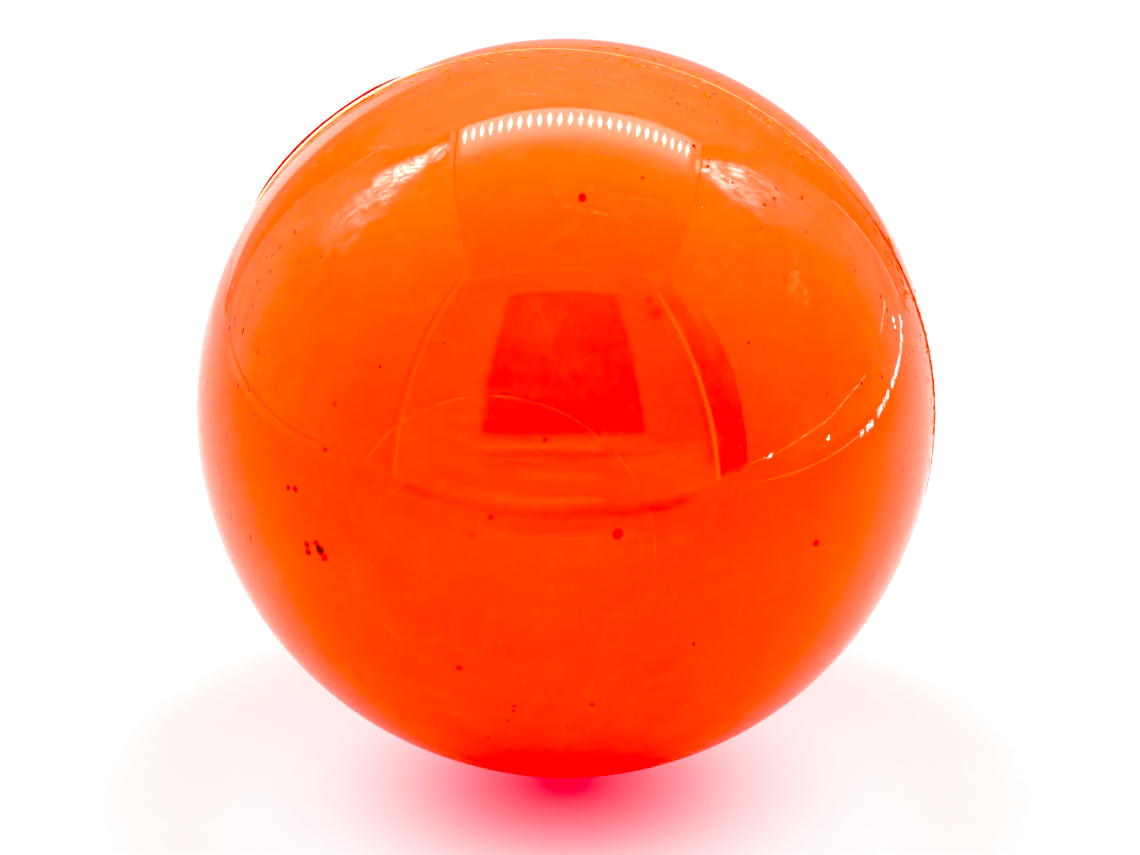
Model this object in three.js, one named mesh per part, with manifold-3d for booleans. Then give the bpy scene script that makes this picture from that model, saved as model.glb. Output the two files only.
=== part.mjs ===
// A moulded cue ball, 57.15 mm across, in millimetres, +Z up, with its origin at the ball's centre.
// The moulding axis is Y: the front half faces -Y, the rear half faces +Y, and they meet at y = 0.
// From outside in: two half shells with a tongue-and-groove joint and a weld bead round the equator,
// a flush inlay disc at each pole, two filler halves, and a one-inch steel ball as the core.
import * as THREE from "three";
import { mergeVertices } from "three/addons/utils/BufferGeometryUtils.js";
import Module from "manifold-3d";

const wasm = await Module();
wasm.setup();

// Driving dimensions
const BALL_DIAMETER = 57.15;
const SHELL_WALL = 5.575;
const CORE_DIAMETER = 25.4;
const INLAY_DIAMETER = 21.9;
const INLAY_EDGE = 2.2; // thickness of the inlay disc at its rim
const STEM_DIAMETER = 6;
const STEM_LENGTH = 4.7; // below the underside of the disc
const STEM_CHAMFER = 0.4;

// Clearances
const FIT = 0.05; // between faces that touch in the assembled ball
const HAIRLINE = 0.1; // round the inlay disc
const KEY_FIT = 0.15;

// The shells' joint at the equator
const TONGUE_INNER = 25.0;
const TONGUE_OUTER = 26.4;
const TONGUE_HEIGHT = 1.5;
const TONGUE_DRAFT = 0.12;
const WELD_DEPTH = 0.55; // of the V that the bead fills, at the shells' outer edge
const WELD_HALF_WIDTH = 0.45;
const BEAD_PROUD = 0.16; // of the bead's crown over the ball's surface

// The filler halves' pegs and sockets, and the keys that turn them with the shells
const PEG_COUNT = 3;
const PEG_DIAMETER = 3;
const PEG_LENGTH = 3;
const PEG_CIRCLE_RADIUS = 17.8;
const KEY_COUNT = 4;
const KEY_WIDTH = 3;
const KEY_HEIGHT = 1.4; // how far a key stands out of the filler
const KEY_LENGTH = 7; // along the moulding axis, from the parting plane

// Facets
const TURN_STEPS = 60;
const OUTER_STEPS = 11;
const INNER_STEPS = 10;
const INLAY_STEPS = 4;
const PEG_STEPS = 16;

// Worked out from the dimensions above
const BALL_RADIUS = BALL_DIAMETER / 2;
const SHELL_BORE = BALL_RADIUS - SHELL_WALL;
const FILLER_RADIUS = SHELL_BORE - FIT;
const CORE_RADIUS = CORE_DIAMETER / 2;
const SEAT_RADIUS = CORE_RADIUS + FIT;
const INLAY_RADIUS = INLAY_DIAMETER / 2;
const STEM_RADIUS = STEM_DIAMETER / 2;
const STEM_HOLE = STEM_RADIUS + FIT;
const POCKET_RADIUS = INLAY_RADIUS + HAIRLINE;
const PARTING = FIT / 2; // each half stops this far short of y = 0
const POCKET_FLOOR = heightOn(BALL_RADIUS, INLAY_RADIUS) - INLAY_EDGE; // distance from the centre

const orange = new THREE.MeshStandardMaterial({ color: 0xff4a05, roughness: 0.12, metalness: 0 });
const orangeInlay = new THREE.MeshStandardMaterial({ color: 0xff4a05, roughness: 0.12, metalness: 0 });
const orangeWeld = new THREE.MeshStandardMaterial({ color: 0xff6a1a, roughness: 0.3, metalness: 0 });
const filledResin = new THREE.MeshStandardMaterial({ color: 0xe8dccb, roughness: 0.7, metalness: 0 });
const steel = new THREE.MeshStandardMaterial({ color: 0xc4c8cc, roughness: 0.15, metalness: 1 });

// How far along the axis a sphere's surface is, at a distance from that axis.
function heightOn(sphereRadius, fromAxis) {
  return Math.sqrt(sphereRadius ** 2 - fromAxis ** 2);
}

// The angle from the pole at which a sphere's surface is a distance from the axis.
function polarAngle(sphereRadius, fromAxis) {
  return Math.asin(fromAxis / sphereRadius);
}

// Points (distance from the axis, y) on the front half of a sphere, between two angles from its pole.
function arc(sphereRadius, from, to, steps) {
  const points = [];
  for (let i = 0; i <= steps; i++) {
    const angle = from + ((to - from) * i) / steps;
    points.push(new THREE.Vector2(sphereRadius * Math.sin(angle), -sphereRadius * Math.cos(angle)));
  }
  return points;
}

function at(fromAxis, y) {
  return new THREE.Vector2(fromAxis, y);
}

// A solid of revolution about Y. Its profile runs with the material on the right hand.
function turned(profile) {
  return new THREE.LatheGeometry([...profile].reverse(), TURN_STEPS);
}

// A closed profile ends where it starts.
function closed(profile) {
  return [...profile, profile[0].clone()];
}

function toSolid(geometry) {
  const bare = new THREE.BufferGeometry().setAttribute("position", geometry.getAttribute("position"));
  bare.setIndex(geometry.index);
  const merged = mergeVertices(bare, 1e-4);
  const vertProperties = merged.attributes.position.array;
  const triVerts = new Uint32Array(merged.index.array);
  return new wasm.Manifold(new wasm.Mesh({ numProp: 3, vertProperties, triVerts }));
}

function toGeometry(solid) {
  const mesh = solid.getMesh();
  return new THREE.BufferGeometry()
    .setAttribute("position", new THREE.BufferAttribute(mesh.vertProperties, 3))
    .setIndex(new THREE.BufferAttribute(mesh.triVerts, 1));
}

// The same shape, count times round the moulding axis. One is on the X axis, so that the pegs of one
// half meet the sockets of the other.
function aroundAxis(geometry, count) {
  return Array.from({ length: count }, (_, i) => geometry.clone().rotateY((i * 2 * Math.PI) / count));
}

// The face that a shell and its filler share, from the stem's hole to the rim. The two arcs have the
// same angles, so that their facets lie flat against each other.
function sharedArc(sphereRadius) {
  const rimAngle = Math.PI / 2 - Math.asin(PARTING / FILLER_RADIUS);
  return arc(sphereRadius, polarAngle(FILLER_RADIUS, STEM_HOLE), rimAngle, INNER_STEPS);
}

// One half shell, facing -Y. The joint's profile runs along its rim, from the bore outwards.
function shellHalf(joint) {
  const weldAngle = Math.PI / 2 - Math.asin(WELD_HALF_WIDTH / BALL_RADIUS);
  const profile = closed([
    ...sharedArc(SHELL_BORE),
    ...joint,
    at(BALL_RADIUS - WELD_DEPTH, -PARTING),
    ...arc(BALL_RADIUS, weldAngle, polarAngle(BALL_RADIUS, POCKET_RADIUS), OUTER_STEPS),
    at(POCKET_RADIUS, -POCKET_FLOOR),
    at(STEM_HOLE, -POCKET_FLOOR),
  ]);
  const slots = aroundAxis(keyShape(KEY_FIT), KEY_COUNT);
  return toGeometry(slots.reduce((shell, slot) => shell.subtract(toSolid(slot)), toSolid(turned(profile))));
}

function tongue() {
  return [
    at(TONGUE_INNER, -PARTING),
    at(TONGUE_INNER + TONGUE_DRAFT, TONGUE_HEIGHT),
    at(TONGUE_OUTER - TONGUE_DRAFT, TONGUE_HEIGHT),
    at(TONGUE_OUTER, -PARTING),
  ];
}

// The groove is drawn in the frame of a half that faces -Y, so it goes down into it.
function groove() {
  const depth = TONGUE_HEIGHT + 2 * FIT;
  return [
    at(TONGUE_INNER - FIT, -PARTING),
    at(TONGUE_INNER - FIT + TONGUE_DRAFT, -depth),
    at(TONGUE_OUTER + FIT - TONGUE_DRAFT, -depth),
    at(TONGUE_OUTER + FIT, -PARTING),
  ];
}

// A key on the filler's equator, or with a clearance the slot that it slides into.
function keyShape(clearance) {
  const outer = FILLER_RADIUS + KEY_HEIGHT + clearance;
  const inner = FILLER_RADIUS - KEY_HEIGHT;
  const length = KEY_LENGTH + 2 * clearance;
  const key = new THREE.BoxGeometry(outer - inner, length, KEY_WIDTH + 2 * clearance);
  return key.translate((outer + inner) / 2, -PARTING - KEY_LENGTH / 2, 0);
}

function inlayDisc() {
  const underside = POCKET_FLOOR + FIT;
  const tip = POCKET_FLOOR - STEM_LENGTH;
  return turned([
    at(0, -tip),
    at(STEM_RADIUS - STEM_CHAMFER, -tip),
    at(STEM_RADIUS, -tip - STEM_CHAMFER),
    at(STEM_RADIUS, -underside),
    at(INLAY_RADIUS, -underside),
    ...arc(BALL_RADIUS, polarAngle(BALL_RADIUS, INLAY_RADIUS), 0, INLAY_STEPS),
  ]);
}

// One filler half, facing -Y, with a seat for the core and a blind hole for the inlay's stem.
function fillerHalf() {
  const seatRim = Math.PI / 2 - Math.asin(PARTING / SEAT_RADIUS);
  const holeEnd = POCKET_FLOOR - STEM_LENGTH - FIT;
  const body = turned([
    ...arc(SEAT_RADIUS, 0, seatRim, INNER_STEPS),
    ...sharedArc(FILLER_RADIUS).reverse(),
    at(STEM_HOLE, -holeEnd),
    at(0, -holeEnd),
  ]);
  const keys = aroundAxis(keyShape(0), KEY_COUNT);
  return keys.reduce((solid, key) => solid.add(toSolid(key)), toSolid(body));
}

// Pegs that stand on the parting plane, or with a clearance the sockets for them.
function pegs(clearance) {
  const length = PEG_LENGTH + clearance + PARTING;
  const peg = new THREE.CylinderGeometry(
    PEG_DIAMETER / 2 + clearance,
    PEG_DIAMETER / 2 + clearance,
    2 * length,
    PEG_STEPS,
  );
  peg.translate(PEG_CIRCLE_RADIUS, 0, 0);
  return aroundAxis(peg, PEG_COUNT).map(toSolid);
}

function fillerWithPegs() {
  return toGeometry(pegs(0).reduce((solid, peg) => solid.add(peg), fillerHalf()));
}

function fillerWithSockets() {
  const sockets = pegs(FIT);
  return toGeometry(sockets.reduce((solid, socket) => solid.subtract(socket), fillerHalf()));
}

// The bead fills the V between the shells and stands a little proud of the ball.
function weldBead() {
  const root = BALL_RADIUS - WELD_DEPTH + 2 * FIT;
  const edge = WELD_HALF_WIDTH - FIT;
  return turned(
    closed([
      at(root, 0),
      at(heightOn(BALL_RADIUS, edge), edge),
      at(BALL_RADIUS + BEAD_PROUD * 0.8, edge * 0.55),
      at(BALL_RADIUS + BEAD_PROUD, 0),
      at(BALL_RADIUS + BEAD_PROUD * 0.8, -edge * 0.55),
      at(heightOn(BALL_RADIUS, edge), -edge),
    ]),
  );
}

function coreBall() {
  return turned(arc(CORE_RADIUS, Math.PI, 0, 2 * INNER_STEPS));
}

function piece(name, geometry, material) {
  const mesh = new THREE.Mesh(geometry, material);
  mesh.name = name;
  return mesh;
}

const front = new THREE.Group();
front.add(
  piece("front_shell", shellHalf(tongue()), orange),
  piece("front_inlay_disc", inlayDisc(), orangeInlay),
  piece("front_filler_half", fillerWithPegs(), filledResin),
);

// The rear half is the front half's design, turned to face +Y.
const rear = new THREE.Group();
rear.rotation.x = Math.PI;
rear.add(
  piece("rear_shell", shellHalf(groove()), orange),
  piece("rear_inlay_disc", inlayDisc(), orangeInlay),
  piece("rear_filler_half", fillerWithSockets(), filledResin),
);

const ball = new THREE.Group();
ball.add(
  front,
  rear,
  piece("equator_weld_bead", weldBead(), orangeWeld),
  piece("steel_core_ball", coreBall(), steel),
);

export default ball;
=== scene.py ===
"""A moulded orange billiard ball, 57.15 mm across, in a light tent.

Metres. The ball's centre is the origin, its moulding axis is Y with the front pole at -Y, and it rests
at z = -radius. Angles on the ball are polar, from the front pole, and around, from +Z towards +X.
"""
import math
import random

import bmesh
import bpy
import numpy as np
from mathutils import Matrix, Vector, noise


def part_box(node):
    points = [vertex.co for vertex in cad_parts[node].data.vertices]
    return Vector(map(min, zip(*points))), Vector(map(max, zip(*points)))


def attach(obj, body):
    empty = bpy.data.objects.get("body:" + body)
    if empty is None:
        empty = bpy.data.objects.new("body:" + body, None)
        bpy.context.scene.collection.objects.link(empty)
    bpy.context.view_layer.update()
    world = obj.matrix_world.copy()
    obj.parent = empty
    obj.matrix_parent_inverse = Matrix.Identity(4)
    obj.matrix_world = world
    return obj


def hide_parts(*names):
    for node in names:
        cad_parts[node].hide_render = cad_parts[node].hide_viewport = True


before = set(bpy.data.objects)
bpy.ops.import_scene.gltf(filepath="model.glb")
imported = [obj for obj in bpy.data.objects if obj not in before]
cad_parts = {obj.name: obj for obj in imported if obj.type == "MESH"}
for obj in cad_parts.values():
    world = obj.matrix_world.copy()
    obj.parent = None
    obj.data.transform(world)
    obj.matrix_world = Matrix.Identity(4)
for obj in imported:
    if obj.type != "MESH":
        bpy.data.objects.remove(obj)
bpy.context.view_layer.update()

MM = 0.001
RADIUS = -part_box("front_inlay_disc")[0].y
INLAY_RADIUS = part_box("front_inlay_disc")[1].x
STEM_TIP = -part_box("front_inlay_disc")[1].y
TONGUE_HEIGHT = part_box("front_shell")[1].y

# Sizes that the CAD nodes' boxes don't give
SHELL_BORE = 23.0 * MM
TONGUE_INNER = 25.0 * MM
TONGUE_OUTER = 26.4 * MM
WELD_DEPTH = 0.55 * MM
WELD_HALF_WIDTH = 0.45 * MM
INLAY_EDGE = 2.2 * MM
STEM_RADIUS = 3.0 * MM
FIT = 0.05 * MM
POCKET_FLOOR = math.sqrt(RADIUS**2 - INLAY_RADIUS**2) - INLAY_EDGE

# The camera, 7.8 ball radii from the centre, aimed a little off it
CAMERA_AZIMUTH = math.radians(9.93)
CAMERA_ELEVATION = math.radians(21)
CAMERA_DISTANCE = 7.835 * RADIUS
LENS = 90.7
AIM_RIGHT = 0.012 * RADIUS
AIM_DOWN = 0.052 * RADIUS

# The light tent stands square to the camera, and the ball is inside it, off its middle
TENT_SIDE = 5.2 * RADIUS
TENT_FRONT = -4.7 * RADIUS
TENT_BACK = 4.9 * RADIUS
TENT_CEILING = 8.8 * RADIUS
WALL_BASE = -0.3 * RADIUS
STUDIO_GLOW = 1.6
WALL_GLOW = (1.45, 2.6)  # at its foot and at its top
BACK_GLOW = (0.65, 2.1)  # the same
CEILING_GLOW = (1.45, 3.0)  # at the opening and at the back
LED_COUNT = 25
LED_GLOW = 32
ZIP_GLOW = 22
GLINT_GLOW = 40
BLACK_LEVEL = 0.12

SEED = 7
rng = random.Random(SEED)

AXIS = Vector((0, 1, 0))
UP = Vector((0, 0, 1))
RIGHT = Vector((math.cos(CAMERA_AZIMUTH), math.sin(CAMERA_AZIMUTH), 0))
AWAY = Vector((-math.sin(CAMERA_AZIMUTH), math.cos(CAMERA_AZIMUTH), 0))


# ---------------------------------------------------------------- geometry helpers

def on_ball(polar, around):
    """The point at a polar angle from the front pole, and an angle around from +Z, in degrees."""
    p, a = math.radians(polar), math.radians(around)
    x = RADIUS * math.sin(p) * math.sin(a)
    z = RADIUS * math.sin(p) * math.cos(a)
    return Vector((x, -RADIUS * math.cos(p), z))


def arc(radius, start, end, steps):
    """Points (distance from the axis, y) on a sphere's section, between two polar angles in radians."""
    angles = np.linspace(start, end, steps + 1)
    return [(radius * math.sin(t), -radius * math.cos(t)) for t in angles]


def polar_at(radius, from_axis):
    """The polar angle, in radians, of a sphere's points at a distance from the axis."""
    return math.asin(from_axis / radius)


def make_object(name, verts, faces, material, solid=False):
    """A mesh object in the scene. A solid's normals are turned outwards."""
    mesh = bpy.data.meshes.new(name)
    mesh.from_pydata(verts, [], faces)
    if solid:
        shape = bmesh.new()
        shape.from_mesh(mesh)
        bmesh.ops.recalc_face_normals(shape, faces=shape.faces)
        shape.to_mesh(mesh)
        shape.free()
    mesh.materials.append(material)
    obj = bpy.data.objects.new(name, mesh)
    bpy.context.scene.collection.objects.link(obj)
    return obj


def smooth(obj, sharp_degrees=40):
    obj.data.shade_smooth()
    obj.data.set_sharp_from_angle(angle=math.radians(sharp_degrees))
    return obj


def revolve(profile, steps, closed):
    """A profile turned about Y. An open profile starts and ends on the axis, and a closed one is a ring."""
    verts, faces, rings = [], [], []
    for r, y in profile:
        if r == 0:
            rings.append([len(verts)] * steps)
            verts.append(Vector((0, y, 0)))
            continue
        rings.append(list(range(len(verts), len(verts) + steps)))
        for i in range(steps):
            t = 2 * math.pi * i / steps
            verts.append(Vector((r * math.sin(t), y, r * math.cos(t))))
    pairs = list(zip(rings, rings[1:]))
    if closed:
        pairs.append((rings[-1], rings[0]))
    for low, high in pairs:
        for i in range(steps):
            j = (i + 1) % steps
            corners = [low[i], low[j], high[j], high[i]]
            faces.append(list(dict.fromkeys(corners)))
    return verts, faces


def facing_rear(verts):
    """The front half's points, turned half a turn about X."""
    return [Vector((v.x, -v.y, -v.z)) for v in verts]


# The moulding's faint unevenness: how high each wave is, how wide, and its place in the noise
SWELL = (0.010 * MM, 9 * MM, 2)
RIPPLE = (0.0025 * MM, 2.6 * MM, 7)
SKIN = 0.02 * MM  # the points within this of the outside are moved


def wave(point, height, width, seed):
    return height * noise.noise(point / width + Vector((seed, 0, 0)))


def with_relief(verts):
    """The points, with those on the outside moved by the unevenness. It bends reflections a little."""
    shaped = []
    for v in verts:
        if v.length > RADIUS - SKIN:
            lift = wave(v, *SWELL) + wave(v, *RIPPLE)
            v = v * ((v.length + lift) / v.length)
        shaped.append(v)
    return shaped


# ---------------------------------------------------------------- materials

class Graph:
    """A material's node tree, with short calls for what the materials here need."""

    def __init__(self, name):
        self.material = bpy.data.materials.new(name)
        self.material.use_nodes = True
        self.tree = self.material.node_tree
        self.tree.nodes.clear()
        self.place = self.add("ShaderNodeTexCoord").outputs["Object"]

    def add(self, kind, inputs=None, **settings):
        node = self.tree.nodes.new(kind)
        for key, value in settings.items():
            setattr(node, key, value)
        for key, value in (inputs or {}).items():
            self.put(node.inputs[key], value)
        return node

    def put(self, socket, value):
        if isinstance(value, bpy.types.NodeSocket):
            self.tree.links.new(value, socket)
        else:
            socket.default_value = value

    def math(self, operation, a, b=0.0, c=0.0):
        return self.add("ShaderNodeMath", {0: a, 1: b, 2: c}, operation=operation).outputs[0]

    def vector(self, operation, a, b=(0, 0, 0)):
        return self.add("ShaderNodeVectorMath", {0: a, 1: b}, operation=operation)

    def ramp(self, value, low, high, to_low=0.0, to_high=1.0):
        inputs = {"Value": value, "From Min": low, "From Max": high, "To Min": to_low, "To Max": to_high}
        return self.add("ShaderNodeMapRange", inputs, interpolation_type="SMOOTHSTEP").outputs[0]

    def noise(self, size, detail=3.0, rough=0.5, distortion=0.0, place=None, four=0.0):
        inputs = {
            "Vector": place or self.place, "W": four, "Scale": 1 / size,
            "Detail": detail, "Roughness": rough, "Distortion": distortion,
        }
        return self.add("ShaderNodeTexNoise", inputs, noise_dimensions="4D").outputs["Fac"]

    def along(self, direction):
        """How far the place is along a direction."""
        return self.vector("DOT_PRODUCT", self.place, tuple(direction)).outputs["Value"]

    def away_from(self, point, place=None):
        """The distance from a point."""
        return self.vector("DISTANCE", place or self.place, tuple(point)).outputs["Value"]

    def lift(self):
        """The height over the ball."""
        return self.math("SUBTRACT", self.vector("LENGTH", self.place).outputs["Value"], RADIUS)

    def axes(self):
        return self.add("ShaderNodeSeparateXYZ", {"Vector": self.place}).outputs

    def stretched(self, x, y, z):
        """The place, squeezed along each axis, so that a texture on it is drawn out."""
        return self.vector("MULTIPLY", self.place, (x, y, z)).outputs[0]

    def mix(self, factor, a, b):
        return self.add("ShaderNodeMix", {0: factor, 6: a, 7: b}, data_type="RGBA").outputs[2]

    def bump(self, height, distance, strength=1.0):
        inputs = {"Height": height, "Distance": distance, "Strength": strength}
        return self.add("ShaderNodeBump", inputs).outputs[0]

    def output(self, shader):
        output = self.add("ShaderNodeOutputMaterial")
        self.tree.links.new(shader.outputs[0], output.inputs[0])
        return self.material

    def surface(self, inputs):
        return self.output(self.add("ShaderNodeBsdfPrincipled", inputs))

    def glow(self, strength):
        return self.output(self.add("ShaderNodeEmission", {"Color": WHITE, "Strength": strength}))

    def film(self, colour, strength):
        """A glow that adds to what is behind it."""
        self.material.cycles.emission_sampling = "NONE"
        shader = self.add("ShaderNodeEmission", {"Color": colour, "Strength": strength})
        clear = self.add("ShaderNodeBsdfTransparent")
        return self.output(self.add("ShaderNodeAddShader", {0: shader.outputs[0], 1: clear.outputs[0]}))


WHITE = (1, 1, 1, 1)
ORANGE = (0.96, 0.098, 0.004, 1)
ORANGE_DEEP = (0.95, 0.088, 0.003, 1)
ORANGE_PALE = (0.98, 0.111, 0.006, 1)
# Pale flash, which also serves as a painted highlight on the seam's ridge and the discs' lips
PALE_FLASH_AND_HIGHLIGHT = (1.0, 0.42, 0.16, 1)
# White painted on a tall fin, for light shining through it
FIN_WHITE_GLOW = (1.0, 0.93, 0.90, 1)
FIN_TIP = (0.80, 0.012, 0.006, 1)
FIN_RED = (0.86, 0.035, 0.006, 1)
INCLUSION_RED = (0.74, 0.004, 0.004, 1)
INCLUSION_BLACK = (0.015, 0.002, 0.006, 1)
DUST = (1.0, 0.42, 0.26, 1)

# Dirt that was cast in under the surface: polar, around, width in mm, how soft its edge is
INCLUSIONS = [
    (53.38, 10.5, 0.52, 0.3), (53.05, 10.6, 0.68, 0.3), (52.72, 10.7, 0.52, 0.3), (59.5, 19, 0.28, 0.2),
    (41, 32.5, 0.9, 1.2), (42, 30, 0.6, 1.2),
    (17.5, 79, 0.78, 0.3), (48.5, 94.5, 0.58, 0.2), (34, -83.2, 0.42, 0.2), (32.5, -82.5, 0.50, 0.2),
    (30.5, -98, 0.58, 0.2), (30.6, -100.3, 0.58, 0.2), (28, -99, 0.85, 0.1), (28.5, -97, 0.54, 0.2),
    (27.5, -101.5, 0.58, 0.2), (21, -163, 0.46, 0.3), (27.5, 177, 0.30, 0.4), (30, 154, 0.34, 0.3),
    (31.5, -54, 0.42, 0.9), (29, -66.5, 0.48, 0.7), (60, -65.5, 0.46, 0.4), (59, -64, 0.26, 0.3),
    (61.5, -67.5, 0.24, 0.4), (51, -81, 0.28, 0.4), (18, 22, 0.44, 0.8), (5.5, -4.5, 0.46, 0.9),
    (4, -48.5, 0.42, 1.2), (54, -45, 0.34, 0.9), (66, 106, 0.48, 0.4), (78.5, -25.5, 0.5, 0.9),
    (67, -17.5, 0.4, 1.1), (59, -8.5, 0.5, 1.1), (86.5, 23.5, 0.42, 0.4), (88.5, 23, 0.3, 0.3),
    (98.5, 21.6, 0.2, 0.3), (81.9, 23.5, 0.26, 0.4), (78.6, 25.3, 0.2, 0.4), (84.3, 23.4, 0.2, 0.3),
    (54.5, 68, 0.34, 0.8), (59, 48, 0.4, 1.1), (75, 69, 0.36, 0.5), (77.5, -56, 0.24, 0.4),
]
REAR_INCLUSIONS = 16
for _ in range(REAR_INCLUSIONS):
    rear_polar, rear_around = rng.uniform(96, 176), rng.uniform(-180, 180)
    INCLUSIONS.append((rear_polar, rear_around, rng.uniform(0.3, 0.8), rng.uniform(0.2, 0.8)))

# The black middles of some: polar, around, width and softness
BLACK_CORES = [
    (53.2, 10.6, 0.24, 0.15), (28, -99, 0.5, 0.15), (28.3, -98, 0.34, 0.15),
    (30.5, -98, 0.2, 0.15), (30.6, -100.3, 0.2, 0.15), (60, -65.5, 0.24, 0.15),
]

# Bubbles that show as pale round spots: polar, around, width in mm, and softness
BUBBLES = [
    (53, 5.8, 0.36, 0.6), (58.8, 51.3, 0.4, 0.5), (64.5, 13.1, 0.3, 0.6), (73.7, 14.7, 0.28, 0.6),
    (53.9, 38.6, 0.4, 0.8), (55.2, 41.3, 0.42, 0.8), (130, 40, 0.4, 0.6), (118, -120, 0.36, 0.6),
]

# Dull rubs on the gloss: polar, around, length and width in mm, and the direction they run, in degrees
# from the line towards the pole
RUBS = [
    (51.2, 12, 8.0, 0.42, 92), (55.6, 19, 4.6, 0.30, 108), (66.2, -29, 4.2, 0.25, 96),
    (61, 49, 4.5, 1.2, 25), (60.5, 52, 2.6, 0.7, 60),
    (87, 17, 4.0, 0.8, 88), (86.5, 32, 3.6, 1.1, 80), (86.8, 40, 3.0, 0.8, 80), (81.5, 0, 3.4, 0.25, 70),
    (73, -3, 4.2, 0.3, 86), (75.5, -14.5, 3.2, 0.25, 88), (67, -26, 2.6, 0.4, 60), (35, -140, 3.0, 0.2, 40),
    (120, 60, 6.0, 0.3, 70), (135, -80, 4.5, 1.0, 30), (150, 10, 5.0, 0.25, 50), (112, -150, 5.5, 0.8, 75),
]


def spots(g, place, listed):
    """A mask of round spots, each with its own width and softness."""
    mask = 0.0
    for polar, around, width, softness in listed:
        half = width / 2 * MM
        full, gone = half * max(0.1, 0.95 - softness), half * (1 + 0.6 * softness)
        spot = g.ramp(g.away_from(on_ball(polar, around), place), full, gone, 1.0 - 0.6 * softness, 0.0)
        mask = g.math("MAXIMUM", spot, mask)
    return mask


def rubs(g):
    """A mask of streaks, broken up along their length."""
    mask = 0.0
    for polar, around, length, width, heading in RUBS:
        centre = on_ball(polar, around)
        outward = centre.normalized()
        to_pole = (outward * outward.dot(AXIS) - AXIS).normalized()
        sideways = outward.cross(to_pole)
        turn = math.radians(heading)
        along = to_pole * math.cos(turn) + sideways * math.sin(turn)
        across = outward.cross(along)
        offset = g.vector("SUBTRACT", g.place, tuple(centre)).outputs[0]
        u = g.vector("DOT_PRODUCT", offset, tuple(along * (2 / (length * MM)))).outputs["Value"]
        v = g.vector("DOT_PRODUCT", offset, tuple(across * (2 / (width * MM)))).outputs["Value"]
        bend = g.math("MULTIPLY_ADD", g.math("MULTIPLY", u, u), 0.9, v)
        reach = g.math("ADD", g.math("MULTIPLY", u, u), g.math("MULTIPLY", bend, bend))
        here = g.ramp(g.away_from(centre), length * MM, length * 1.1 * MM, 1.0, 0.0)
        mask = g.math("MAXIMUM", g.math("MULTIPLY", g.ramp(reach, 0.0, 1.0, 1.0, 0.0), here), mask)
    broken = g.ramp(g.noise(0.5 * MM, 6, 0.7, 1.0), 0.40, 0.66)
    return g.math("MULTIPLY", mask, broken)


def painted_rim_highlight(g):
    """A mask of the discs' rims, painted paler as a highlight along the lip: a hairline that fades in and
    out.
    """
    axes = g.axes()
    from_axis = g.math("SQRT", g.math("ADD", g.math("POWER", axes["X"], 2), g.math("POWER", axes["Z"], 2)))
    rim = g.math("ABSOLUTE", g.math("SUBTRACT", from_axis, INLAY_RADIUS - 0.06 * MM))  # just inside it
    faded = g.ramp(g.noise(3.5 * MM, 4, 0.65, four=4.0), 0.42, 0.62)
    return g.math("MULTIPLY", g.ramp(rim, 0.02 * MM, 0.10 * MM, 1, 0), faded)


# Heights over the ball between which a fin is painted white, for light shining through it, and then deep
# red
FIN_GLOWS_WHITE = (0.11 * MM, 0.14 * MM)
FIN_REDDENS = (0.26 * MM, 0.29 * MM)


def fin_colour_and_painted_light(g, colour):
    """Flash is pale, partly a painted highlight on its ridge, or redder at the ball's right, painted white
    up a tall fin's side for light shining through it, and deep red at its tip.
    """
    lift = g.lift()
    torn = g.ramp(g.noise(0.5 * MM, 4, 0.7, four=6.0), 0.25, 0.5)
    # Pale where the flash stands up: partly its own thin resin, partly a painted highlight on the ridge
    pale = g.math("MULTIPLY", g.ramp(lift, 0.012 * MM, 0.035 * MM), torn)
    axes = g.axes()
    right = g.ramp(axes["X"], 0.62 * RADIUS, 0.90 * RADIUS)
    colour = g.mix(g.math("MULTIPLY", pale, g.math("SUBTRACT", 1.0, right)), colour, PALE_FLASH_AND_HIGHLIGHT)
    colour = g.mix(g.math("MULTIPLY", g.math("MULTIPLY", pale, right), 0.8), colour, FIN_RED)
    # Painted light: a tall fin turns white up its side, for light shining through the thin flash
    colour = g.mix(g.ramp(lift, *FIN_GLOWS_WHITE), colour, FIN_WHITE_GLOW)
    return g.mix(g.ramp(lift, *FIN_REDDENS), colour, FIN_TIP)


SPOT_WANDER = 0.24 * MM  # how far a spot's outline strays
FLECK_CELL = 0.58 * MM
DUST_CELL = 2.3 * MM


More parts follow.
